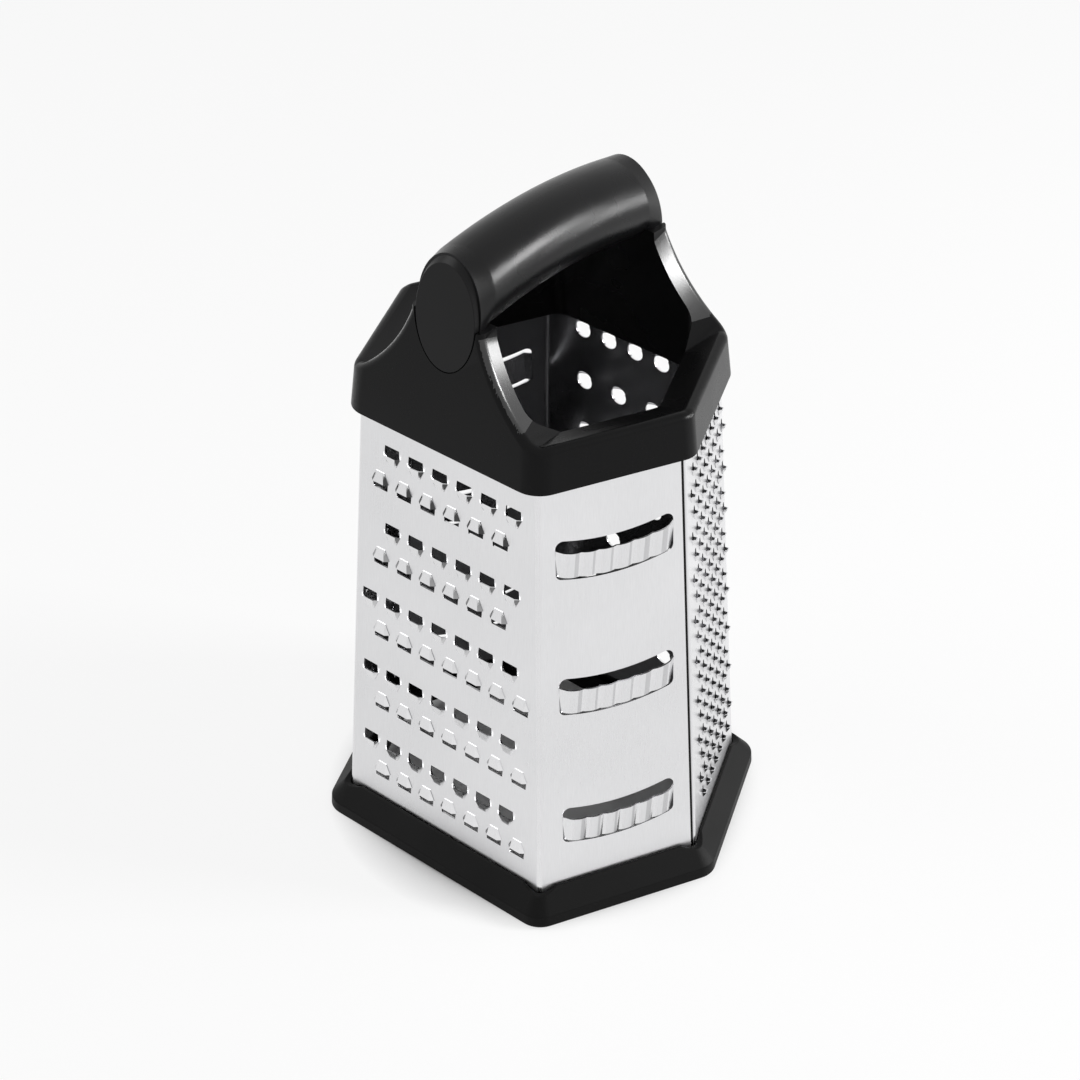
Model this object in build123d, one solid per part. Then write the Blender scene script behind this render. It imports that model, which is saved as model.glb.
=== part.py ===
"""Six-sided box grater: two bent steel sheets between a moulded handle frame and a non-slip foot ring.

Millimetres, +Z up. The origin is the middle of the footprint on the counter. The wide coarse face
looks along -Y, the handle bar runs along Y, and the grater is as wide as it gets along X.
"""

from build123d import *
from math import atan, cos, degrees, radians, sin, tan
import os

# Body, measured where the steel leaves the foot ring
steel_start_height = 11.8
steel_visible_height = 150.9
wide_face_distance = 51.5
side_face_distance = 60.25
side_face_angle = 24.8
wide_face_lean = 6.8
side_face_lean = 8.65
sheet_thickness = 0.6
bend_radius = 2.5
seam_setback = 1.4
lap_width = 5.0

# Foot ring
foot_flare = 6.6
foot_flare_height = 5.0
foot_floor_thickness = 2.4
foot_lip_width = 1.1
foot_lip_dip = 1.7
foot_lip_dip_radius = 9.0
foot_inner_wall = 2.0
foot_inner_wall_height = 7.0
foot_corner_radius = 8.0
foot_edge_radius = 1.2

# Handle frame
skirt_wall = 3.3
collar_height = 15.8
collar_lean = 1.6
collar_front_corner_radius = 9.5
collar_side_corner_radius = 7.0
collar_edge_radius = 2.4
deck_thickness = 4.6
rim_width = 11.2
rim_drop = 3.6
inner_skirt_wall = 2.4
inner_skirt_drop = 2.5
opening_corner_radius = 5.0
post_thickness = 7.4
post_height = 28.5
post_top_half_width = 14.2
post_waist_half_width = 20.9
post_waist_height = 15.0
post_foot_half_width = 35.4
post_foot_blend_radius = 9.0

# Handle bar and soft grip
grip_radius = 12.9
grip_rise = 39.3
grip_arch_radius = 197.0
grip_wall = 3.2

# Oval end plugs
plug_half_width = 12.0
plug_half_height = 18.5
plug_thickness = 1.8
plug_rise = 30.2
plug_side_slope = 0.35
plug_top_slope = 2.0

# Coarse two-way teeth on the front face
coarse_pitch = 10.0
coarse_edge_columns = 2.75
coarse_rows = 10
coarse_short_rows = 4
coarse_full_count = 7
coarse_row_step = 14.45
coarse_top_row = 138.3
coarse_turned_rise = 3.0
coarse_tooth_width = 7.1
coarse_gap = 2.8
coarse_tooth_length = 3.6
coarse_tooth_height = 1.3

# Large shredding teeth on the rear face
shred_span = 44.0
shred_offset = -1.3
shred_row_step = 20.5
shred_top_row = 143.4
shred_rows = 7
shred_count = 5
shred_hole_radius = 3.1
shred_dome_radius = 3.8
shred_dome_height = 1.9
shred_lip_rise = 1.6

# Fine teeth on the narrow face right of the rear face, with one tooth more in every second row
fine_pitch = 5.85
fine_row_step = 8.05
fine_top_row = 139.6
fine_rows = 17
fine_count = 7
fine_tooth_width = 2.7
fine_gap = 2.2
fine_tooth_length = 2.4
fine_tooth_height = 1.5
fine_offset = 2.8

# Medium teeth on the narrow face left of the front face
medium_pitch = 8.4
medium_row_step = 10.4
medium_top_row = 138.0
medium_rows = 13
medium_count = 5
medium_tooth_width = 4.4
medium_gap = 1.7
medium_tooth_length = 3.8
medium_tooth_height = 1.1

# Every punched hood: its wall, drawn thinner than the sheet, and its shape as parts of its mouth's own size
hood_wall = 0.35
hood_top_share = 0.64
hood_tail_share = 0.12
hood_root_share = 0.5
hood_point_share = 0.3
window_top_share = 0.92
window_point_share = 0.5

# Slicing slots on the other two narrow faces
slot_half_length = 19.9
slot_sag = 2.8
slot_gap = 3.4
slot_step = 50.9
slot_top_row = 129.1
slot_count = 3
slot_end_radius = 2.4
blade_depth = 9.6
blade_lift = 2.0
blade_foot_lift = 0.35
blade_side_run = 1.9
blade_slit = 0.9
flute_count = 6
flute_depth = 0.55

# Shared
clearance = 0.3
overrun = 2.0

# The six faces by the direction each one looks, as seen from above
front_angle = -90.0
front_right_angle = -side_face_angle
rear_right_angle = side_face_angle
rear_angle = 90.0
rear_left_angle = 180.0 - side_face_angle
front_left_angle = 180.0 + side_face_angle
face_angles = [front_angle, front_right_angle, rear_right_angle, rear_angle, rear_left_angle, front_left_angle]

steel_foot_height = foot_floor_thickness
collar_bottom_height = steel_start_height + steel_visible_height
collar_top_height = collar_bottom_height + collar_height
steel_top_height = collar_top_height - deck_thickness
parting_height = collar_top_height + post_height
collar_overhang = clearance + skirt_wall


def meet(angle_a, distance_a, angle_b, distance_b):
    """Corner between two upright planes, each at a distance from the centre line."""
    ax, ay = cos(radians(angle_a)), sin(radians(angle_a))
    bx, by = cos(radians(angle_b)), sin(radians(angle_b))
    determinant = ax * by - ay * bx
    return ((distance_a * by - distance_b * ay) / determinant, (ax * distance_b - bx * distance_a) / determinant)


def is_wide(angle):
    return angle in (front_angle, rear_angle)


def steel_distance(angle, height):
    """Distance of the outside of a steel face from the centre line at a height."""
    rise = (height - steel_start_height) / steel_visible_height
    if is_wide(angle):
        return wide_face_distance - wide_face_lean * rise
    return side_face_distance - side_face_lean * rise


def hexagon(wide, side, height, front_radius, side_radius):
    """Six-sided face with rounded corners, given the distances of its wide and narrow sides."""
    distances = [wide if is_wide(angle) else side for angle in face_angles]
    corners = [
        meet(face_angles[i - 1], distances[i - 1], face_angles[i], distances[i]) for i in range(len(face_angles))
    ]
    radii = [side_radius if is_side_corner(i) else front_radius for i in range(len(face_angles))]
    outline = FilletPolyline(*corners, radius=radii, close=True)
    return Pos(0, 0, height) * make_face(outline)


def is_side_corner(index):
    """True for the two corners on the X axis, between two narrow faces."""
    return not is_wide(face_angles[index - 1]) and not is_wide(face_angles[index])


def hexagon_block(sections):
    """Solid through hexagon faces, from the lowest to the highest."""
    return loft(sections, ruled=True)


def face_plane(angle):
    """Plane on the outside of a steel face: X to the right seen from outside, Y up the slope."""
    lean = wide_face_lean if is_wide(angle) else side_face_lean
    slope = atan(lean / steel_visible_height)
    outward = (cos(radians(angle)), sin(radians(angle)))
    distance = steel_distance(angle, steel_start_height)
    return Plane(
        origin=(outward[0] * distance, outward[1] * distance, steel_start_height),
        x_dir=(-outward[1], outward[0], 0),
        z_dir=(outward[0] * cos(slope), outward[1] * cos(slope), sin(slope)),
    )


def sheet_section(angles, height, inset_ends):
    """Cross-section of one bent sheet; its end panels may sit one sheet further in, as lap flanges."""
    insets = [sheet_thickness if inset_ends and i in (0, len(angles) - 1) else 0 for i in range(len(angles))]
    outer = [steel_distance(angle, height) - inset for angle, inset in zip(angles, insets)]
    inner = [distance - sheet_thickness for distance in outer]
    outer_bends = bends(angles, outer)
    inner_bends = bends(angles, inner)
    if inset_ends:
        first = along(angles[0], outer_bends[0], -lap_width)
        last = along(angles[-1], outer_bends[-1], lap_width)
    else:
        first = along(angles[0], seam_corner(angles[0], height), seam_setback)
        last = along(angles[-1], seam_corner(angles[-1], height), -seam_setback)
    points = [first, *outer_bends, last, inward(angles[-1], last), *reversed(inner_bends), inward(angles[0], first)]
    bend_count = len(outer_bends)
    radii = [0, *[bend_radius] * bend_count, 0, 0, *[bend_radius - sheet_thickness] * bend_count, 0]
    return Pos(0, 0, height) * make_face(FilletPolyline(*points, radius=radii, close=True))


def bends(angles, distances):
    pairs = zip(angles, distances, angles[1:], distances[1:])
    return [meet(*pair) for pair in pairs]


def seam_corner(angle, height):
    """Corner on the X axis where a narrow panel meets the other sheet."""
    mirrored = -angle
    return meet(angle, steel_distance(angle, height), mirrored, steel_distance(mirrored, height))


def along(angle, point, run):
    """Point moved along a face, to the right as seen from outside."""
    return (point[0] - sin(radians(angle)) * run, point[1] + cos(radians(angle)) * run)


def inward(angle, point):
    return (
        point[0] - cos(radians(angle)) * sheet_thickness,
        point[1] - sin(radians(angle)) * sheet_thickness,
    )


def bent_sheet(angles, inset_ends):
    sections = [sheet_section(angles, height, inset_ends) for height in (steel_foot_height, steel_top_height)]
    return loft(sections, ruled=True)


def hood_section(place, width, bottom, height):
    """Upright section across a hood, at a place along it: straight through the sheet and narrower above."""
    half, knee = width / 2, sheet_thickness / 4
    top = half * hood_top_share
    right_side = [(half, bottom), (half, knee), (top, height)]
    left_side = [(-top, height), (-half, knee), (-half, bottom)]
    return Plane.XZ.offset(-place) * make_face(Polyline(*right_side, *left_side, close=True))


def punched_tooth(width, length, height, gap, tail_share, window_share):
    """Raised hood and the opening cut at its mouth, for a tooth whose mouth faces up the sheet."""
    tail = height * hood_tail_share
    root = -sheet_thickness / 2
    hood = loft(
        [hood_section(0, width, root, height), hood_section(-length, width * tail_share, root, tail)],
        ruled=True,
    )
    inner = width - hood_wall * 2
    below = -sheet_thickness * 2
    cut = loft(
        [
            hood_section(gap, inner * window_share, below, height - hood_wall),
            hood_section(0, inner, below, height - hood_wall),
            hood_section(hood_wall - length, inner * tail_share, below, tail - hood_wall),
        ],
        ruled=True,
    )
    return hood, cut


def domed_tooth():
    """Half dome over a round hole, its mouth facing down the sheet."""
    radius = (shred_dome_radius**2 + shred_dome_height**2) / (2 * shred_dome_height)
    centre = shred_dome_height - radius
    upper = Pos(0, radius + shred_lip_rise, centre + radius) * Box(radius * 2, radius * 2, radius * 2)
    dome = Pos(0, 0, centre) * Sphere(radius)
    hollow = Pos(0, 0, centre) * Sphere(radius - sheet_thickness)
    above = Pos(0, 0, radius) * Box(radius * 2, radius * 4, radius * 2)
    below = Pos(0, 0, radius - sheet_thickness) * Box(radius * 2, radius * 4, radius * 2)
    hole = Cylinder(shred_hole_radius, sheet_thickness * 4)
    open_part = Pos(0, shred_lip_rise - radius, 0) * Box(radius * 2, radius * 2, radius * 2)
    return dome & upper & above, (hollow & upper & below) + (hole & open_part)


def coarse_places():
    """Places of the two-way teeth, with a half turn for the ones whose mouth faces down."""
    places = []
    for row in range(coarse_rows):
        faces_down = row % 2 == 1
        side = -1 if faces_down else 1
        count = coarse_full_count - 1 if row < coarse_short_rows else coarse_full_count
        for i in range(count):
            across = side * (coarse_edge_columns - i) * coarse_pitch
            up = coarse_top_row - row * coarse_row_step + (coarse_turned_rise if faces_down else 0)
            places.append(Pos(across, up, 0) * Rot(0, 0, 180 if faces_down else 0))
    return places


def shred_places():
    """Rows of large teeth, with one tooth less over the same span in every second row."""
    places = []
    for row in range(shred_rows):
        count = shred_count - row % 2
        for i in range(count):
            across = shred_offset + shred_span * (i / (count - 1) - 1 / 2)
            places.append(Pos(across, shred_top_row - row * shred_row_step, 0))
    return places


def fine_places():
    places = []
    for row in range(fine_rows):
        count = fine_count + row % 2
        for i in range(count):
            across = fine_offset + (i - (count - 1) / 2) * fine_pitch
            places.append(Pos(across, fine_top_row - row * fine_row_step, 0))
    return places


def medium_places():
    places = []
    for row in range(medium_rows):
        count = medium_count - row % 2
        for i in range(count):
            across = (i - (count - 1) / 2) * medium_pitch
            places.append(Pos(across, medium_top_row - row * medium_row_step, 0))
    return places


def sagging_strip(half_length, top, depth):
    """Strip that sags in the middle, as a face between two like arcs; top is where its ends start."""
    upper = ThreePointArc((-half_length, top), (0, top - slot_sag), (half_length, top))
    right = Line((half_length, top), (half_length, top - depth))
    lower = ThreePointArc((half_length, top - depth), (0, top - depth - slot_sag), (-half_length, top - depth))
    left = Line((-half_length, top - depth), (-half_length, top))
    return make_face(Curve() + [upper, right, lower, left])


def blade_line(lift, flutes):
    """Outline across a blade, from one sheet edge over its raised middle to the other."""
    shoulder = slot_half_length - blade_side_run
    segments = []
    if flutes:
        pitch = shoulder * 2 / flutes
        for i in range(flutes):
            left = -shoulder + i * pitch
            segments.append(
                ThreePointArc(
                    (left, lift - flute_depth), (left + pitch / 2, lift), (left + pitch, lift - flute_depth)
                )
            )
        edge = lift - flute_depth
    else:
        segments.append(Line((-shoulder, lift), (shoulder, lift)))
        edge = lift
    root = lift - blade_lift
    start = Line((-slot_half_length, root), (-shoulder, edge))
    end = Line((shoulder, edge), (slot_half_length, root))
    return [start, *segments, end]


def blade(flutes):
    """Raised cutting strip below a slot, its top edge lifted and its foot nearly level with the sheet."""
    outer = blade_line(blade_lift, flutes)
    inner = blade_line(blade_lift - sheet_thickness, flutes)
    closing = [
        Line(outer[0] @ 0, inner[0] @ 0),
        Line(outer[-1] @ 1, inner[-1] @ 1),
    ]
    section = make_face(Curve() + [*outer, *inner, *closing])
    tilt = degrees(atan((blade_lift - blade_foot_lift) / blade_depth))
    run = blade_depth + slot_sag * 2 + slot_gap * 2
    top = -slot_gap
    strip = extrude(Plane.XZ * section, amount=run, both=True)
    tilted = Pos(0, top, 0) * Rot(tilt, 0, 0) * strip
    outline = Pos(0, 0, -blade_lift * 2) * sagging_strip(slot_half_length, top + slot_sag, blade_depth)
    return tilted & extrude(outline, amount=blade_lift * 4)


def slicer(flutes):
    """Blade to add and window to cut, for one slot; Y = 0 is the middle of the slot's top edge."""
    depth = slot_gap + blade_depth + blade_slit
    window = sagging_strip(slot_half_length, slot_sag, depth)
    window = fillet(window.vertices(), slot_end_radius)
    cutter = Pos(0, 0, -overrun) * extrude(window, amount=overrun * 2)
    return blade(flutes), cutter


def slot_places():
    return [Pos(0, slot_top_row - i * slot_step, 0) for i in range(slot_count)]


def work_face(sheet, angle, added, removed, places, cut_first=False):
    """Punches one face of a sheet: hoods or blades are joined on, then the openings are cut."""
    plane = face_plane(angle)
    additions = [plane.location * place * added for place in places]
    removals = [plane.location * place * removed for place in places]
    if cut_first:
        return sheet - removals + additions
    return sheet + additions - removals


def front_shell():
    sheet = bent_sheet([front_left_angle, front_angle, front_right_angle], inset_ends=False)
    coarse = punched_tooth(
        coarse_tooth_width,
        coarse_tooth_length,
        coarse_tooth_height,
        coarse_gap,
        hood_root_share,
        window_top_share,
    )
    sheet = work_face(sheet, front_angle, *coarse, coarse_places())
    sheet = work_face(sheet, front_right_angle, *slicer(flute_count), slot_places(), cut_first=True)
    medium = punched_tooth(
        medium_tooth_width,
        medium_tooth_length,
        medium_tooth_height,
        medium_gap,
        hood_root_share,
        window_top_share,
    )
    return work_face(sheet, front_left_angle, *medium, medium_places())


def rear_shell():
    angles = [front_right_angle, rear_right_angle, rear_angle, rear_left_angle, front_left_angle]
    sheet = bent_sheet(angles, inset_ends=True)
    fine = punched_tooth(
        fine_tooth_width,
        fine_tooth_length,
        fine_tooth_height,
        fine_gap,
        hood_point_share,
        window_point_share,
    )
    sheet = work_face(sheet, rear_right_angle, *fine, fine_places())
    sheet = work_face(sheet, rear_angle, *domed_tooth(), shred_places())
    return work_face(sheet, rear_left_angle, *slicer(0), slot_places(), cut_first=True)


def foot_ring():
    """Flared ring with a groove that the steel stands in, open in the middle."""

    def section(height, offset, radius):
        wide = steel_distance(front_angle, height) + offset
        side = steel_distance(front_right_angle, height) + offset
        return hexagon(wide, side, height, radius, radius)

    low = foot_flare - foot_edge_radius
    body = hexagon_block(
        [
            section(0, low, foot_corner_radius),
            section(foot_edge_radius, foot_flare, foot_corner_radius),
            section(foot_flare_height, foot_flare, foot_corner_radius),
            section(steel_start_height, foot_lip_width, bend_radius + foot_lip_width),
        ]
    )
    lap = 2 * sheet_thickness + clearance
    hole_radius = bend_radius / 2
    groove = hexagon_block(
        [
            section(steel_foot_height, clearance, bend_radius + clearance),
            section(steel_start_height + overrun, clearance, bend_radius + clearance),
        ]
    )
    core = hexagon_block(
        [section(-overrun, -lap, hole_radius), section(foot_inner_wall_height, -lap, hole_radius)]
    )
    opening = hexagon_block(
        [
            section(-overrun, -lap - foot_inner_wall, hole_radius),
            section(steel_start_height + overrun, -lap - foot_inner_wall, hole_radius),
        ]
    )
    ring = body - (groove - core) - opening
    return ring - [lip_dip(i) for i in range(len(face_angles))]


def lip_dip(index):
    """Round cut that lowers the lip at one corner, as the photographed lip dips at the bends."""
    angles = face_angles[index - 1], face_angles[index]
    corner = meet(
        angles[0],
        steel_distance(angles[0], steel_start_height),
        angles[1],
        steel_distance(angles[1], steel_start_height),
    )
    outward = Vector(*corner, 0).normalized()
    height = steel_start_height + foot_lip_dip_radius - foot_lip_dip
    start = Vector(*corner, height) - outward * (foot_flare + bend_radius)
    cutter = Solid.make_cylinder(
        foot_lip_dip_radius, (foot_flare + bend_radius) * 2, Plane(origin=start, z_dir=outward)
    )
    return cutter


def collar_distances(height, inset):
    """Wide and narrow distances of the collar's outer walls at a height, less an inset."""
    rise = (height - collar_bottom_height) / collar_height
    wide = steel_distance(front_angle, collar_bottom_height) + collar_overhang
    side = steel_distance(front_right_angle, collar_bottom_height) + collar_overhang
    return wide - collar_lean * rise - inset, side - collar_lean * rise - inset


def collar_section(height, inset, front_radius, side_radius):
    wide, side = collar_distances(height, inset)
    return hexagon(wide, side, height, front_radius, side_radius)


def opening_section(height):
    """Hexagon of the hand opening: post faces on the wide sides, rim edges on the narrow ones."""
    wide = collar_distances(height, post_thickness)[0]
    side = collar_distances(collar_top_height, rim_width)[1]
    return hexagon(wide, side, height, opening_corner_radius, opening_corner_radius)


def rim_funnel():
    """Air over the narrow rims, which fall inward from their crest to the opening."""

    def level(height):
        side = collar_distances(collar_top_height, 0)[1] + (height - collar_top_height) * rim_width / rim_drop
        right, rear = side / cos(radians(side_face_angle)), side / sin(radians(side_face_angle))
        outline = Polyline((right, 0), (0, rear), (-right, 0), (0, -rear), close=True)
        return Pos(0, 0, height) * make_face(outline)

    return hexagon_block([level(collar_top_height - rim_drop * 1.5), level(parting_height + post_height)])


def post_air(side):
    """Air on both sides of a post, sloping inward like the rims; side is -1 in front and 1 at the rear."""
    reach = side_face_distance * 2
    top = parting_height + post_height * 2
    foot = (post_foot_half_width, collar_top_height)
    waist = (post_waist_half_width, collar_top_height + post_waist_height)
    neck = (post_top_half_width, parting_height)
    outline = [
        Line((reach, collar_top_height), foot),
        ThreePointArc(foot, waist, neck),
        Polyline(neck, (post_top_half_width, top), (reach, top), (reach, collar_top_height)),
    ]
    face = make_face(Curve() + outline)
    kink = face.vertices().sort_by_distance(Vertex(*foot))[0]
    face = fillet(kink, post_foot_blend_radius)
    crest = collar_distances(collar_top_height, 0)[0]
    face = Plane.XZ.offset(-side * crest) * face
    slope = Vector(0, -side, -rim_drop / rim_width)
    air = extrude(face, amount=reach, dir=slope, both=True)
    return air + mirror(air, about=Plane.YZ)


def handle_frame():
    """Collar, two posts and the bar core in one moulding."""
    radii = collar_front_corner_radius, collar_side_corner_radius
    body = hexagon_block(
        [collar_section(collar_bottom_height, 0, *radii), collar_section(parting_height, 0, *radii)]
    )
    body = body - (rim_funnel() & post_air(-1) & post_air(1))
    body = fillet(crest_edges(body), collar_edge_radius)
    inner_low = collar_bottom_height - inner_skirt_drop
    skirt = hexagon_block([inner_section(inner_low), inner_section(steel_top_height)])
    channel = hexagon_block(
        [
            channel_section(collar_bottom_height - overrun),
            channel_section(steel_top_height),
        ]
    )
    opening = hexagon_block([opening_section(inner_low - overrun), opening_section(parting_height + overrun)])
    body = body - channel + skirt - opening
    return body + bar_core() - plug_pockets(clearance)


def crest_edges(body):
    """Outer edges of the posts and of the collar's top, which are rounded over."""
    return [edge for edge in body.edges() if is_crest(edge)]


def is_crest(edge):
    box, middle = edge.bounding_box(), edge @ 0.5
    wide, side = collar_distances(middle.Z, collar_edge_radius)
    across = abs(middle.X) * cos(radians(side_face_angle)) + abs(middle.Y) * sin(radians(side_face_angle))
    on_wall = abs(middle.Y) > wide or across > side
    on_top = box.min.Z > parting_height - sheet_thickness
    return on_wall and not on_top and box.min.Z > collar_top_height - collar_edge_radius


def inner_section(height):
    """Outside of the inner skirt, a channel's width inside the steel."""
    wide, _ = collar_distances(height, post_thickness - inner_skirt_wall)
    side = collar_distances(collar_top_height, rim_width - inner_skirt_wall)[1]
    return hexagon(wide, side, height, opening_corner_radius, opening_corner_radius)


def channel_section(height):
    """Room for the steel inside the outer skirt."""
    wide = steel_distance(front_angle, height) + clearance
    side = steel_distance(front_right_angle, height) + clearance
    return hexagon(wide, side, height, bend_radius + clearance, bend_radius + clearance)


def bar_height(place):
    """Height of the bar's centre line at a distance from the middle."""
    return collar_top_height + grip_rise - grip_arch_radius + (grip_arch_radius**2 - place**2) ** 0.5


def bar_path():
    """Arched centre line of the handle bar, from beyond one post to beyond the other."""
    reach = wide_face_distance
    low, top = bar_height(reach), bar_height(0)
    return ThreePointArc((0, -reach, low), (0, 0, top), (0, reach, low))


def bar(radius):
    path = bar_path()
    profile = Plane(origin=path @ 0, x_dir=(0, 0, 1), z_dir=path % 0) * Circle(radius)
    return sweep(profile, path=path)


def between_posts(inset):
    """Everything between the outer planes of the two posts, moved in by an inset."""
    low, high = collar_bottom_height, collar_top_height + grip_rise + grip_radius * 2
    near, far = collar_distances(low, inset)[0], collar_distances(high, inset)[0]
    outline = make_face(Polyline((-near, low), (near, low), (far, high), (-far, high), close=True))
    return extrude(Plane.YZ * outline, amount=side_face_distance, both=True)


def bar_core():
    return bar(grip_radius - grip_wall - clearance) & between_posts(plug_thickness)


def plug_plane(side):
    """Plane on a post's outer face at the plug's centre; side is -1 in front and 1 at the rear."""
    height = collar_top_height + plug_rise
    slope = atan(collar_lean / collar_height)
    return Plane(
        origin=(0, side * collar_distances(height, 0)[0], height),
        x_dir=(-side, 0, 0),
        z_dir=(0, side * cos(slope), sin(slope)),
    )


def oval(side, border, inner, outer):
    """Upright oval block on a post's face, from a depth inside to a depth outside."""
    face = plug_plane(side).offset(-inner) * Ellipse(plug_half_width + border, plug_half_height + border)
    return extrude(face, amount=inner + outer, dir=plug_plane(side).z_dir)


def plug_pockets(border):
    """Room for the two plugs, with a border around them."""
    return [oval(side, border, plug_thickness, overrun) for side in (-1, 1)]


def grip_end(sleeve, side):
    """End of the grip over one post: round where it leaves the sleeve and oval around the plug."""
    inner = sleeve.faces().sort_by(Axis.Y)[0 if side < 0 else -1]
    outer = plug_plane(side) * Ellipse(plug_half_width + clearance, plug_half_height + clearance)
    return loft([inner, outer], ruled=True)


def soft_grip():
    """Sleeve over the bar core that also wraps the tops of the posts, up to the backs of the plugs."""
    high = collar_top_height + grip_rise + grip_radius * 2
    reach = side_face_distance
    above = Pos(0, 0, (parting_height + high) / 2) * Box(reach * 2, reach * 2, high - parting_height)
    sleeve = bar(grip_radius) & between_posts(post_thickness)
    grip = sleeve + [grip_end(sleeve, side) & above for side in (-1, 1)]
    return grip - bar(grip_radius - grip_wall) - plug_pockets(grip_radius) - post_tops()


def post_tops():
    """Room under the parting for the posts, where the sleeve reaches lower than their tops."""
    low = parting_height - post_height
    reach = side_face_distance
    inner = collar_distances(parting_height, post_thickness + clearance)[0]
    block = Pos(0, 0, (low + parting_height) / 2) * Box(reach * 2, reach * 2, post_height)
    return block - Box(reach * 2, inner * 2, reach * 8)


def end_plug(side):
    """Oval plug, smaller in front than at its back, with its lowest points in line, so its top edge slopes."""
    back = plug_plane(side).offset(-plug_thickness) * Ellipse(plug_half_width, plug_half_height)
    smaller = Ellipse(plug_half_width - plug_side_slope, plug_half_height - plug_top_slope / 2)
    front = plug_plane(side) * Pos(0, -plug_top_slope / 2) * smaller
    return loft([back, front], ruled=True)


pieces = {
    "front_shell": front_shell(),
    "rear_shell": rear_shell(),
    "foot_ring": foot_ring(),
    "handle_frame": handle_frame(),
    "soft_grip": soft_grip(),
    "front_end_plug": end_plug(-1),
    "rear_end_plug": end_plug(1),
}

os.makedirs("parts", exist_ok=True)
for name, piece in pieces.items():
    export_step(piece, f"parts/{name}.step")
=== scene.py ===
"""Box grater, dressed: satin steel with punched teeth, a moulded handle frame, a soft grip and a foot.

Metres, in the frame of the solids: +Z up, the coarse face looks along -Y, the handle bar runs along Y.
"""

from math import cos, radians, sin

import bpy
from bpy.props import FloatProperty, FloatVectorProperty, PointerProperty
from mathutils import Matrix, Vector


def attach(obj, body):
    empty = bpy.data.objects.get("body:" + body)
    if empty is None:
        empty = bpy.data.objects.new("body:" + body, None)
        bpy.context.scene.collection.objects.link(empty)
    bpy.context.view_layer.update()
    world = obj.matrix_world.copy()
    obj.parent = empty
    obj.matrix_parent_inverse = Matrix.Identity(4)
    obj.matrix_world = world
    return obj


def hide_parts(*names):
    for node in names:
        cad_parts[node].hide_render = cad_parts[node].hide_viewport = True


bl_info = {
    "name": "Box grater finishes",
    "version": (1, 0, 0),
    "blender": (4, 5, 0),
    "location": "View3D > Sidebar > Grater",
    "description": "Dresses a box grater in satin steel, moulded plastic and rubber, on a plain stage",
    "category": "Object",
}

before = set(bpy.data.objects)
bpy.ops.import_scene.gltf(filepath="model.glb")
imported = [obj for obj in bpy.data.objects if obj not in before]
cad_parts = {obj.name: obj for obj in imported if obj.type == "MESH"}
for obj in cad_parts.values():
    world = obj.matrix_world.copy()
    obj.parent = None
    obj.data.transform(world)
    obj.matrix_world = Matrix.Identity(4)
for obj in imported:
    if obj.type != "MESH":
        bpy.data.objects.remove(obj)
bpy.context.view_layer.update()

# Mesh work: what counts as one point, as flat and as a crease.
MERGE_DISTANCE = 1e-6
FLAT_ANGLE = radians(0.5)
CREASE_ANGLE = radians(32)
FLUTE_CREASE_ANGLE = radians(17)
BEVEL_SEGMENTS = 3
NORMAL_WEIGHT = 90

# The six faces of the body, by the angle that each looks along, and the two of them with slicing blades.
FACE_ANGLES = [radians(degrees) for degrees in (-90.0, -24.8, 24.8, 90.0, 155.2, 204.8)]
BLADE_ANGLES = [FACE_ANGLES[1], FACE_ANGLES[4]]

# How far the parts of a sheet lean, as shares of a unit normal.
UPRIGHT_SHARE = 0.6
PRESSED_SHARE = 0.97
BLADE_SHARE = 0.8
FLUTE_TURN = (0.1, 0.25)
FLANK_SHARE = 0.35

# Half the width of the coarse face, inside its bends.
TOOTH_REACH = 0.0345

# The cut sides of the posts: above the collar, looking sideways and a little up.
COLLAR_TOP = 0.181
CUT_SHARE = 0.55
CUT_RISE = (0.1, 0.85)

# Steel: grains per metre across and along the rolling, clouds in its gloss, and how far both show.
BRUSHING = (3800.0, 3800.0, 70.0)
STEEL_CLOUDS = 22.0
STEEL_DETAIL = 3.0
STEEL_PATTERN = (0.7, 1.3)
STEEL_TINT = (0.95, 1.03)
FLANK_GRAIN = 900.0
FLANK_GLOSS = (0.8, 1.3)
STEEL_GRAIN_DEPTH = 0.00001
STEEL_GRAIN_STRENGTH = 0.25

# Least and most roughness of plain steel and of mouldings, as shares of its mean.
GLOSS_SHARES = (0.88, 1.12)

# Heights between which the painted reflection of the black handle on the sides of the coarse teeth turns
# from pale to dark.
PALE_HEIGHT = 0.075
DARK_HEIGHT = 0.13
DARK_SHARE = 0.08

# Mouldings: roughness, shine, grains per metre and depth of the grain.
FRAME_FINISH = (0.28, 0.12, 2600.0, 0.00002)
CUT_SIDE_FINISH = (0.26, 0.7, 2600.0, 0.00001)
GRIP_FINISH = (0.28, 0.2, 3200.0, 0.00004)
PLUG_FINISH = (0.38, 0.17, 2600.0, 0.00002)
FOOT_FINISH = (0.5, 0.1, 1800.0, 0.00004)

# Clouds in the gloss of mouldings, per metre, and how sharply an edge shows its wear.
MOULDED_CLOUDS = 45.0
MOULDED_DETAIL = 4.0
CLOUD_DETAIL = 3.0
MOULDED_GRAIN_STRENGTH = 0.5
WORN_EDGE = (0.52, 0.62)
WORN_SHARE = 2.6

# The floor's own white, which starts under the foot ring; inside the ring the floor is left without it
# as painted shade, so the inside of the body looks dark.
OPEN_GLOW = 0.82
GLOW_START = 0.056
GLOW_END = 0.075
FLOOR_ROUGHNESS = 0.9
FLOOR_SIZE = 8.0

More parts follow.
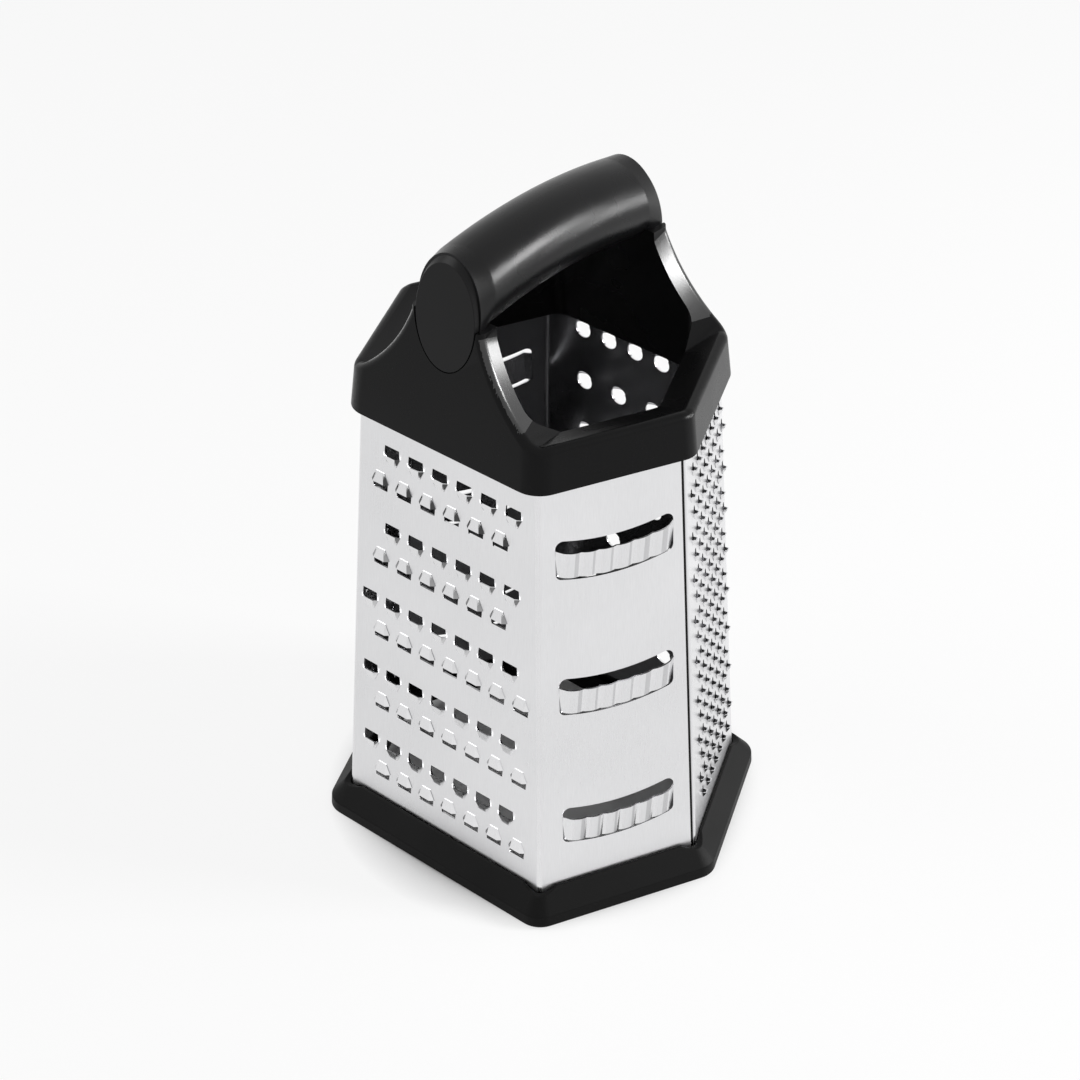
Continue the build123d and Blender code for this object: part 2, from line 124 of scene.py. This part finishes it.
# Lamps: place, width and height in metres. All of them look at the top of the grater.
LAMP_AIM = Vector((0.0, 0.0, 0.19))
KEY_LAMP = ((0.98, 0.67, 0.58), 0.32, 0.34)
BACK_LAMP = ((0.72, 0.88, 0.165), 0.26, 0.3)
SIDE_LAMP = ((1.08, 0.42, 0.4), 0.3, 0.36)
FILL_LAMP = ((-0.75, -0.7, 1.0), 0.8, 0.8)

# Camera: sensor in millimetres, and the framing of the picture as shares of its width.
SENSOR_WIDTH = 36.0
SHIFT_ACROSS = -0.00272
SHIFT_UP = 0.03887
NEAREST = 0.01


class GraterSteelSettings(bpy.types.PropertyGroup):
    """Colours and finish of the two bent sheets."""

    outside_colour: FloatVectorProperty(
        name="Outside colour",
        description="Colour of the steel that food is rubbed on",
        subtype="COLOR",
        min=0.0,
        max=1.0,
        default=(0.76, 0.76, 0.77),
    )
    inside_shade_colour: FloatVectorProperty(
        name="Inside colour",
        # Steel colour inside the box, darkened as painted shade
        description="Colour of the steel inside the box",
        subtype="COLOR",
        min=0.0,
        max=1.0,
        default=(0.3, 0.3, 0.31),
    )
    outside_roughness: FloatProperty(
        name="Outside roughness",
        description="Mean roughness of the satin outside",
        subtype="FACTOR",
        min=0.0,
        max=1.0,
        default=0.3,
    )
    pressed_roughness: FloatProperty(
        name="Pressed roughness",
        description="Mean roughness of the teeth and blades, polished by the press",
        subtype="FACTOR",
        min=0.0,
        max=1.0,
        default=0.14,
    )
    flute_shade_colour: FloatVectorProperty(
        name="Flute colour",
        # Darker steel colour on one half of each blade flute, as painted shade
        description="Colour of the duller half of each blade flute",
        subtype="COLOR",
        min=0.0,
        max=1.0,
        default=(0.58, 0.58, 0.59),
    )
    seam_shade_colour: FloatVectorProperty(
        name="Seam colour",
        # Steel colour in the open seams, darkened near black as painted shade
        description="Colour of the steel in the open seams, dulled by use",
        subtype="COLOR",
        min=0.0,
        max=1.0,
        default=(0.012, 0.012, 0.012),
    )
    inside_roughness: FloatProperty(
        name="Inside roughness",
        description="Mean roughness of the brighter rolled inside",
        subtype="FACTOR",
        min=0.0,
        max=1.0,
        default=0.16,
    )


class GraterHandleSettings(bpy.types.PropertyGroup):
    """Colours and edges of the handle frame, the grip and the plugs."""

    frame_colour: FloatVectorProperty(
        name="Frame colour",
        description="Colour of the moulded collar and posts",
        subtype="COLOR",
        min=0.0,
        max=1.0,
        default=(0.003, 0.003, 0.0032),
    )
    grip_colour: FloatVectorProperty(
        name="Grip colour",
        description="Colour of the soft sleeve",
        subtype="COLOR",
        min=0.0,
        max=1.0,
        default=(0.004, 0.004, 0.0043),
    )
    plug_colour: FloatVectorProperty(
        name="Plug colour",
        description="Colour of the oval plugs",
        subtype="COLOR",
        min=0.0,
        max=1.0,
        default=(0.004, 0.004, 0.0043),
    )
    edge_radius: FloatProperty(
        name="Edge radius",
        description="Rounding of the moulded edges",
        subtype="DISTANCE",
        unit="LENGTH",
        min=0.0001,
        max=0.002,
        default=0.0007,
    )


class GraterFootSettings(bpy.types.PropertyGroup):
    """Colour and edges of the foot ring."""

    colour: FloatVectorProperty(
        name="Foot colour",
        description="Colour of the rubber ring",
        subtype="COLOR",
        min=0.0,
        max=1.0,
        default=(0.003, 0.003, 0.003),
    )
    edge_radius: FloatProperty(
        name="Edge radius",
        description="Rounding of the ring's edges",
        subtype="DISTANCE",
        unit="LENGTH",
        min=0.0001,
        max=0.002,
        default=0.0006,
    )


class GraterStageSettings(bpy.types.PropertyGroup):
    """Floor, light and camera."""

    floor_colour: FloatVectorProperty(
        name="Floor colour",
        description="Colour of the floor",
        subtype="COLOR",
        min=0.0,
        max=1.0,
        default=(0.86, 0.86, 0.86),
    )
    surround_level: FloatProperty(
        name="Surround level",
        description="Strength of the even light from all around",
        min=0.0,
        max=2.0,
        default=0.4,
    )
    key_power: FloatProperty(
        name="Key power",
        description="Power of the lamp behind the grater on its right, which lines the grip",
        unit="POWER",
        min=0.0,
        default=13.0,
    )
    fill_power: FloatProperty(
        name="Fill power",
        description="Power of the lamp at the upper left",
        unit="POWER",
        min=0.0,
        default=6.0,
    )
    back_power: FloatProperty(
        name="Back power",
        description="Power of the low lamp behind the grater, which lights the cut sides of the posts",
        unit="POWER",
        min=0.0,
        default=4.0,
    )
    side_power: FloatProperty(
        name="Side power",
        description="Power of the faint lamp on the right",
        unit="POWER",
        min=0.0,
        default=0.5,
    )
    camera_azimuth: FloatProperty(
        name="Camera azimuth",
        description="Turn of the camera around the grater from its coarse face",
        subtype="ANGLE",
        unit="ROTATION",
        default=radians(40.848),
    )
    camera_elevation: FloatProperty(
        name="Camera elevation",
        description="Angle by which the camera looks down",
        subtype="ANGLE",
        unit="ROTATION",
        default=radians(36.581),
    )
    camera_roll: FloatProperty(
        name="Camera roll",
        description="Turn of the camera about its own line of sight",
        subtype="ANGLE",
        unit="ROTATION",
        default=radians(-0.169),
    )
    camera_distance: FloatProperty(
        name="Camera distance",
        description="Distance from the camera to the point it turns around",
        subtype="DISTANCE",
        unit="LENGTH",
        default=0.9086,
    )
    aim_height: FloatProperty(
        name="Aim height",
        description="Height of the point that the camera turns around",
        subtype="DISTANCE",
        unit="LENGTH",
        default=0.0867,
    )
    lens: FloatProperty(
        name="Lens",
        description="Focal length in millimetres on a sensor 36 mm wide",
        default=92.04,
    )


def pick(piece):
    """Makes one piece the only selected and active one."""
    bpy.ops.object.select_all(action="DESELECT")
    piece.select_set(True)
    bpy.context.view_layer.objects.active = piece


def merged_copy(node, name, flatten):
    """Copy of a solid's mesh with its seams closed, and with flat faces made whole if asked."""
    piece = bpy.data.objects.new(name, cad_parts[node].data.copy())
    piece.data.name = name
    piece.data.materials.clear()
    bpy.context.collection.objects.link(piece)
    pick(piece)
    bpy.ops.mesh.customdata_custom_splitnormals_clear()
    bpy.ops.object.mode_set(mode="EDIT")
    bpy.ops.mesh.select_all(action="SELECT")
    bpy.ops.mesh.remove_doubles(threshold=MERGE_DISTANCE)
    if flatten:
        bpy.ops.mesh.dissolve_limited(angle_limit=FLAT_ANGLE)
    bpy.ops.object.mode_set(mode="OBJECT")
    return piece


def apply_modifier(piece, kind, **values):
    """Adds a modifier with the given values and applies it."""
    modifier = piece.modifiers.new(kind.lower(), kind)
    for name, value in values.items():
        setattr(modifier, name, value)
    pick(piece)
    bpy.ops.object.modifier_apply(modifier=modifier.name)


def round_edges(piece, radius):
    """Rounds the sharp edges of a moulded piece."""
    apply_modifier(
        piece,
        "BEVEL",
        width=radius,
        segments=BEVEL_SEGMENTS,
        limit_method="ANGLE",
        angle_limit=CREASE_ANGLE,
        use_clamp_overlap=True,
    )


def smooth(piece, crease_angle=CREASE_ANGLE):
    """Smooth shading that keeps creases, with flat faces left flat."""
    pick(piece)
    bpy.ops.object.shade_smooth_by_angle(angle=crease_angle)
    apply_modifier(piece, "WEIGHTED_NORMAL", mode="FACE_AREA", weight=NORMAL_WEIGHT, keep_sharp=True)


def new_material(name):
    """New material, with its node tree and its main shader."""
    material = bpy.data.materials.new(name)
    material.use_nodes = True
    tree = material.node_tree
    return material, tree, tree.nodes["Principled BSDF"]


def grain(tree, scale, detail, stretch=(1.0, 1.0, 1.0)):
    """Noise fixed to the piece; its scale is in grains per metre."""
    coordinates = tree.nodes.new("ShaderNodeTexCoord")
    mapping = tree.nodes.new("ShaderNodeMapping")
    mapping.inputs["Scale"].default_value = stretch
    noise = tree.nodes.new("ShaderNodeTexNoise")
    noise.inputs["Scale"].default_value = scale
    noise.inputs["Detail"].default_value = detail
    tree.links.new(coordinates.outputs["Object"], mapping.inputs["Vector"])
    tree.links.new(mapping.outputs["Vector"], noise.inputs["Vector"])
    return noise.outputs["Fac"]


def spread(tree, source, low, high, from_low=0.3, from_high=0.7):
    """Maps a pattern onto a range of values."""
    node = tree.nodes.new("ShaderNodeMapRange")
    node.inputs["From Min"].default_value = from_low
    node.inputs["From Max"].default_value = from_high
    node.inputs["To Min"].default_value = low
    node.inputs["To Max"].default_value = high
    tree.links.new(source, node.inputs["Value"])
    return node.outputs["Result"]


def tint(tree, source, colour, low, high):
    """Colour whose brightness follows a pattern between two shares."""
    mix = tree.nodes.new("ShaderNodeMix")
    mix.data_type = "RGBA"
    mix.inputs["A"].default_value = (*[channel * low for channel in colour], 1.0)
    mix.inputs["B"].default_value = (*[min(channel * high, 1.0) for channel in colour], 1.0)
    tree.links.new(source, mix.inputs["Factor"])
    return mix.outputs["Result"]


def bumps(tree, shader, source, distance, strength):
    """Raises a pattern on a surface by a depth in metres."""
    bump = tree.nodes.new("ShaderNodeBump")
    bump.inputs["Distance"].default_value = distance
    bump.inputs["Strength"].default_value = strength
    tree.links.new(source, bump.inputs["Height"])
    tree.links.new(bump.outputs["Normal"], shader.inputs["Normal"])


def satin_steel(name, colour, roughness):
    """Steel rolled along its height: fine upright grain, with faint clouds in its gloss."""
    material, tree, shader = new_material(name)
    shader.inputs["Metallic"].default_value = 1.0
    brushing = grain(tree, 1.0, STEEL_DETAIL, stretch=BRUSHING)
    clouds = grain(tree, STEEL_CLOUDS, STEEL_DETAIL)
    both = tree.nodes.new("ShaderNodeMath")
    both.operation = "ADD"
    tree.links.new(brushing, both.inputs[0])
    tree.links.new(clouds, both.inputs[1])
    share = spread(tree, both.outputs["Value"], 0.0, 1.0, *STEEL_PATTERN)
    tree.links.new(tint(tree, share, colour, *STEEL_TINT), shader.inputs["Base Color"])
    low, high = [roughness * part for part in GLOSS_SHARES]
    gloss = spread(tree, both.outputs["Value"], low, high, *STEEL_PATTERN)
    tree.links.new(gloss, shader.inputs["Roughness"])
    bumps(tree, shader, brushing, STEEL_GRAIN_DEPTH, STEEL_GRAIN_STRENGTH)
    return material


def tooth_flank_painted_reflection(name, settings):
    """Sides of the coarse teeth with a painted reflection of the black handle: dark near the handle, and
    paler down the face.
    """
    material, tree, shader = new_material(name)
    shader.inputs["Metallic"].default_value = 1.0
    coordinates = tree.nodes.new("ShaderNodeTexCoord")
    axes = tree.nodes.new("ShaderNodeSeparateXYZ")
    tree.links.new(coordinates.outputs["Object"], axes.inputs["Vector"])
    height = spread(tree, axes.outputs["Z"], 1.0, DARK_SHARE, PALE_HEIGHT, DARK_HEIGHT)
    colour = tint(tree, height, settings.outside_colour, 0.0, 1.0)
    tree.links.new(colour, shader.inputs["Base Color"])
    fine = grain(tree, FLANK_GRAIN, STEEL_DETAIL)
    low, high = [settings.pressed_roughness * part for part in FLANK_GLOSS]
    tree.links.new(spread(tree, fine, low, high), shader.inputs["Roughness"])
    bumps(tree, shader, fine, STEEL_GRAIN_DEPTH, STEEL_GRAIN_STRENGTH)
    return material


def moulded(name, colour, roughness, shine, grain_scale, grain_depth):
    """Moulded black: an eroded grain, uneven gloss and edges rubbed a little brighter."""
    material, tree, shader = new_material(name)
    shader.inputs["Specular IOR Level"].default_value = shine
    fine = grain(tree, grain_scale, MOULDED_DETAIL)
    clouds = grain(tree, MOULDED_CLOUDS, CLOUD_DETAIL)
    low, high = [roughness * part for part in GLOSS_SHARES]
    tree.links.new(spread(tree, clouds, low, high), shader.inputs["Roughness"])
    geometry = tree.nodes.new("ShaderNodeNewGeometry")
    rubbed = spread(tree, geometry.outputs["Pointiness"], 0.0, 1.0, *WORN_EDGE)
    worn = tree.nodes.new("ShaderNodeMath")
    worn.operation = "MULTIPLY"
    tree.links.new(rubbed, worn.inputs[0])
    tree.links.new(clouds, worn.inputs[1])
    worn_colour = tint(tree, worn.outputs["Value"], colour, 1.0, WORN_SHARE)
    tree.links.new(worn_colour, shader.inputs["Base Color"])
    bumps(tree, shader, fine, grain_depth, MOULDED_GRAIN_STRENGTH)
    return material


def dress(piece, node, slot, *materials):
    """Gives a finished piece its materials, and lets it stand for its solid."""
    for material in materials:
        piece.data.materials.append(material)
    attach(piece, "root")
    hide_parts(node)


def looks_inward(polygon):
    """True for a face of a sheet that looks to the inside of the box."""
    flat = Vector((polygon.normal.x, polygon.normal.y, 0.0))
    outwards = Vector((polygon.center.x, polygon.center.y, 0.0))
    return flat.dot(outwards) < 0.0 and flat.length > UPRIGHT_SHARE


def ahead(angle):
    """Level direction that a face of the body looks along."""
    return Vector((cos(angle), sin(angle), 0.0))


def aside(angle):
    """Level direction across a face of the body."""
    return Vector((-sin(angle), cos(angle), 0.0))


def is_pressed(polygon):
    """True for a face that leans away from the six faces of the body, as on the pressed teeth."""
    return all(polygon.normal.dot(ahead(angle)) < PRESSED_SHARE for angle in FACE_ANGLES)


def is_painted_flute_shade(polygon):
    """True for the half of each blade flute that is turned to one side, which gets a darker colour as
    painted shade.
    """
    least, most = FLUTE_TURN
    normal = polygon.normal
    return any(
        normal.dot(ahead(angle)) > BLADE_SHARE and least < normal.dot(aside(angle)) < most
        for angle in BLADE_ANGLES
    )


def is_flank(polygon):
    """True for the two sides of a coarse tooth on the front face."""
    return abs(polygon.center.x) < TOOTH_REACH and abs(polygon.normal.x) > FLANK_SHARE


def is_front_side(polygon):
    """True for what the rear sheet has in front of the middle: its flanges in the open seams."""
    return polygon.center.y < 0.0


def is_cut_side(polygon):
    """True for the cut sides of the two posts of the handle frame."""
    least, most = CUT_RISE
    sideways = abs(polygon.normal.x) > CUT_SHARE and least < polygon.normal.z < most
    return sideways and polygon.center.z > COLLAR_TOP


def sheet(node, name, slot, settings, painted_light, is_painted_light):
    """One bent sheet: satin outside, inside darkened as painted shade, polished teeth, fluted blades
    with painted shade on one half of each flute, and one part with painted light.
    """
    piece = merged_copy(node, name, flatten=False)
    smooth(piece, FLUTE_CREASE_ANGLE)
    # Inside faces and one half of each flute get painted shade, and the one part passed in gets painted
    # light: a painted reflection on the tooth flanks, painted shade in the seams.
    for polygon in piece.data.polygons:
        if looks_inward(polygon):
            polygon.material_index = 1
        elif is_painted_light(polygon):
            polygon.material_index = 3
        elif is_painted_flute_shade(polygon):
            polygon.material_index = 4
        elif is_pressed(polygon):
            polygon.material_index = 2
    outside = satin_steel(name + "_outside", settings.outside_colour, settings.outside_roughness)
    # The inside faces get a darker steel colour as painted shade.
    inside = satin_steel(name + "_inside", settings.inside_shade_colour, settings.inside_roughness)
    pressed = satin_steel(name + "_pressed", settings.outside_colour, settings.pressed_roughness)
    # One half of each blade flute gets a darker steel colour as painted shade.
    flute = satin_steel(name + "_flute_side", settings.flute_shade_colour, settings.outside_roughness)
    dress(piece, node, slot, outside, inside, pressed, painted_light, flute)


class GRATER_OT_front_sheet(bpy.types.Operator):
    """Dress the front sheet: coarse, slicing and medium faces"""

    bl_idname = "grater.front_sheet"
    bl_label = "Front Sheet"

    def execute(self, context):
        settings = context.scene.grater_steel
        # The sides of the coarse teeth get a painted reflection of the black handle, dark near it and
        # paler lower down.
        flank_painted_reflection = tooth_flank_painted_reflection("coarse_tooth_flank_painted_reflection", settings)
        sheet("front_shell", "front_sheet", "front_steel", settings, flank_painted_reflection, is_flank)
        return {"FINISHED"}


class GRATER_OT_rear_sheet(bpy.types.Operator):
    """Dress the rear sheet: fine, shredding and slicing faces"""

    bl_idname = "grater.rear_sheet"
    bl_label = "Rear Sheet"

    def execute(self, context):
        settings = context.scene.grater_steel
        # The flanges in the open seams get a near-black steel colour as painted shade.
        seam_shade = satin_steel("seam_flange_painted_shade", settings.seam_shade_colour, settings.outside_roughness)
        sheet("rear_shell", "rear_sheet", "rear_steel", settings, seam_shade, is_front_side)
        return {"FINISHED"}


class GRATER_OT_foot(bpy.types.Operator):
    """Dress the rubber ring that the grater stands on"""

    bl_idname = "grater.foot"
    bl_label = "Foot Ring"

    def execute(self, context):
        settings = context.scene.grater_foot
        piece = merged_copy("foot_ring", "rubber_foot", flatten=True)
        round_edges(piece, settings.edge_radius)
        smooth(piece)
        rubber = moulded("foot_rubber_matt", settings.colour, *FOOT_FINISH)
        dress(piece, "foot_ring", "foot_rubber", rubber)
        return {"FINISHED"}


class GRATER_OT_handle(bpy.types.Operator):
    """Dress the moulded collar and posts"""

    bl_idname = "grater.handle"
    bl_label = "Handle Frame"

    def execute(self, context):
        settings = context.scene.grater_handle
        piece = merged_copy("handle_frame", "collar_and_posts", flatten=True)
        round_edges(piece, settings.edge_radius)
        smooth(piece)
        for polygon in piece.data.polygons:
            if is_cut_side(polygon):
                polygon.material_index = 1
        plastic = moulded("frame_plastic_satin", settings.frame_colour, *FRAME_FINISH)
        polished = moulded("frame_plastic_polished", settings.frame_colour, *CUT_SIDE_FINISH)
        dress(piece, "handle_frame", "frame_plastic", plastic, polished)
        return {"FINISHED"}


class GRATER_OT_grip(bpy.types.Operator):
    """Dress the soft sleeve on the handle bar"""

    bl_idname = "grater.grip"
    bl_label = "Soft Grip"

    def execute(self, context):
        settings = context.scene.grater_handle
        piece = merged_copy("soft_grip", "grip_sleeve", flatten=False)
        smooth(piece)
        rubber = moulded("grip_rubber_satin", settings.grip_colour, *GRIP_FINISH)
        dress(piece, "soft_grip", "grip_rubber", rubber)
        return {"FINISHED"}


class GRATER_OT_plugs(bpy.types.Operator):
    """Dress the oval plugs in the ends of the bar"""

    bl_idname = "grater.plugs"
    bl_label = "End Plugs"

    def execute(self, context):
        settings = context.scene.grater_handle
        plastic = moulded("plug_plastic_satin", settings.plug_colour, *PLUG_FINISH)
        for node, name in (("front_end_plug", "front_plug"), ("rear_end_plug", "rear_plug")):
            piece = merged_copy(node, name, flatten=True)
            round_edges(piece, settings.edge_radius)
            smooth(piece)
            dress(piece, node, "plug_plastic", plastic)
        return {"FINISHED"}


def seen(tree):
    """One where the camera or a reflection sees a surface, and zero where light only falls on it."""
    path = tree.nodes.new("ShaderNodeLightPath")
    total = path.outputs["Is Camera Ray"]
    for kind in ("Is Glossy Ray", "Is Transmission Ray"):
        add = tree.nodes.new("ShaderNodeMath")
        add.operation = "ADD"
        add.use_clamp = True
        tree.links.new(total, add.inputs[0])
        tree.links.new(path.outputs[kind], add.inputs[1])
        total = add.outputs["Value"]
    return total


def floor_material(colour):
    """Pale floor that is seen nearly white, with the grater's shadow kept, and without its white under
    the grater as painted shade.
    """
    material, tree, shader = new_material("floor_white")
    shader.inputs["Base Color"].default_value = (*colour, 1.0)
    shader.inputs["Roughness"].default_value = FLOOR_ROUGHNESS
    coordinates = tree.nodes.new("ShaderNodeTexCoord")
    distance = tree.nodes.new("ShaderNodeVectorMath")
    distance.operation = "LENGTH"
    tree.links.new(coordinates.outputs["Object"], distance.inputs[0])
    # No glow within the foot ring: painted shade under the grater.
    glow_share_with_painted_shade = spread(tree, distance.outputs["Value"], 0.0, OPEN_GLOW, GLOW_START, GLOW_END)
    share = tree.nodes.new("ShaderNodeMath")
    share.operation = "MULTIPLY"
    tree.links.new(seen(tree), share.inputs[0])
    tree.links.new(glow_share_with_painted_shade, share.inputs[1])
    glow = tree.nodes.new("ShaderNodeEmission")
    mix = tree.nodes.new("ShaderNodeMixShader")
    output = tree.nodes["Material Output"]
    tree.links.new(share.outputs["Value"], mix.inputs["Fac"])
    tree.links.new(shader.outputs["BSDF"], mix.inputs[1])
    tree.links.new(glow.outputs["Emission"], mix.inputs[2])
    tree.links.new(mix.outputs["Shader"], output.inputs["Surface"])
    return material


def surround(level):
    """Even light from all around, white where the camera or a reflection sees it."""
    world = bpy.data.worlds.new("studio")
    bpy.context.scene.world = world
    world.use_nodes = True
    tree = world.node_tree
    even = tree.nodes["Background"]
    even.inputs["Color"].default_value = (1.0, 1.0, 1.0, 1.0)
    even.inputs["Strength"].default_value = level
    white = tree.nodes.new("ShaderNodeBackground")
    white.inputs["Color"].default_value = (1.0, 1.0, 1.0, 1.0)
    mix = tree.nodes.new("ShaderNodeMixShader")
    tree.links.new(seen(tree), mix.inputs["Fac"])
    tree.links.new(even.outputs["Background"], mix.inputs[1])
    tree.links.new(white.outputs["Background"], mix.inputs[2])
    tree.links.new(mix.outputs["Shader"], tree.nodes["World Output"].inputs["Surface"])


def lamp(name, power, place, width, height):
    """Soft lamp that looks at the top of the grater."""
    turn = (LAMP_AIM - Vector(place)).to_track_quat("-Z", "Y").to_euler()
    bpy.ops.object.light_add(type="AREA", location=place, rotation=turn)
    light = bpy.context.object
    light.name = name
    light.data.shape = "RECTANGLE"
    light.data.size = width
    light.data.size_y = height
    light.data.energy = power


def camera(settings):
    """Camera at the angle that the grater is seen from, looking down on its front right corner."""
    azimuth, elevation = settings.camera_azimuth, settings.camera_elevation
    back = Vector((sin(azimuth) * cos(elevation), -cos(azimuth) * cos(elevation), sin(elevation)))
    right = Vector((cos(azimuth), sin(azimuth), 0.0))
    up = back.cross(right)
    roll = settings.camera_roll
    right, up = right * cos(roll) + up * sin(roll), up * cos(roll) - right * sin(roll)
    place = Vector((0.0, 0.0, settings.aim_height)) + back * settings.camera_distance
    bpy.ops.object.camera_add()
    viewer = bpy.context.object
    viewer.name = "camera"
    rows = [(right[i], up[i], back[i], place[i]) for i in range(3)]
    viewer.matrix_world = Matrix((*rows, (0.0, 0.0, 0.0, 1.0)))
    viewer.data.sensor_width = SENSOR_WIDTH
    viewer.data.lens = settings.lens
    viewer.data.shift_x = SHIFT_ACROSS
    viewer.data.shift_y = SHIFT_UP
    viewer.data.clip_start = NEAREST
    bpy.context.scene.camera = viewer


class GRATER_OT_stage(bpy.types.Operator):
    """Set out the floor, the lamps and the camera"""

    bl_idname = "grater.stage"
    bl_label = "Stage"

    def execute(self, context):
        settings = context.scene.grater_stage
        bpy.ops.mesh.primitive_plane_add(size=FLOOR_SIZE)
        floor = context.object
        floor.name = "floor"
        floor.data.materials.append(floor_material(settings.floor_colour))
        surround(settings.surround_level)
        lamp("key_lamp", settings.key_power, *KEY_LAMP)
        lamp("back_lamp", settings.back_power, *BACK_LAMP)
        lamp("side_lamp", settings.side_power, *SIDE_LAMP)
        lamp("fill_lamp", settings.fill_power, *FILL_LAMP)
        camera(settings)
        context.scene.view_settings.view_transform = "Standard"
        return {"FINISHED"}


class GRATER_PT_finishes(bpy.types.Panel):
    """Finishes of the box grater"""

    bl_idname = "GRATER_PT_finishes"
    bl_label = "Box Grater"
    bl_space_type = "VIEW_3D"
    bl_region_type = "UI"
    bl_category = "Grater"

    def draw(self, context):
        scene = context.scene
        for group in SETTINGS:
            settings = getattr(scene, group)
            box = self.layout.box()
            for name in settings.__annotations__:
                box.prop(settings, name)
        column = self.layout.column()
        for operator in OPERATORS:
            column.operator(operator.bl_idname)


SETTINGS = {
    "grater_steel": GraterSteelSettings,
    "grater_handle": GraterHandleSettings,
    "grater_foot": GraterFootSettings,
    "grater_stage": GraterStageSettings,
}
OPERATORS = [
    GRATER_OT_front_sheet,
    GRATER_OT_rear_sheet,
    GRATER_OT_foot,
    GRATER_OT_handle,
    GRATER_OT_grip,
    GRATER_OT_plugs,
    GRATER_OT_stage,
]


def register():
    for settings in SETTINGS.values():
        bpy.utils.register_class(settings)
    for name, settings in SETTINGS.items():
        setattr(bpy.types.Scene, name, PointerProperty(type=settings))
    for operator in OPERATORS:
        bpy.utils.register_class(operator)
    bpy.utils.register_class(GRATER_PT_finishes)


def unregister():
    bpy.utils.unregister_class(GRATER_PT_finishes)
    for operator in reversed(OPERATORS):
        bpy.utils.unregister_class(operator)
    for name in SETTINGS:
        delattr(bpy.types.Scene, name)
    for settings in reversed(list(SETTINGS.values())):
        bpy.utils.unregister_class(settings)


def main():
    register()
    bpy.ops.grater.front_sheet()
    bpy.ops.grater.rear_sheet()
    bpy.ops.grater.foot()
    bpy.ops.grater.handle()
    bpy.ops.grater.grip()
    bpy.ops.grater.plugs()
    bpy.ops.grater.stage()


if __name__ == "__main__":
    main()
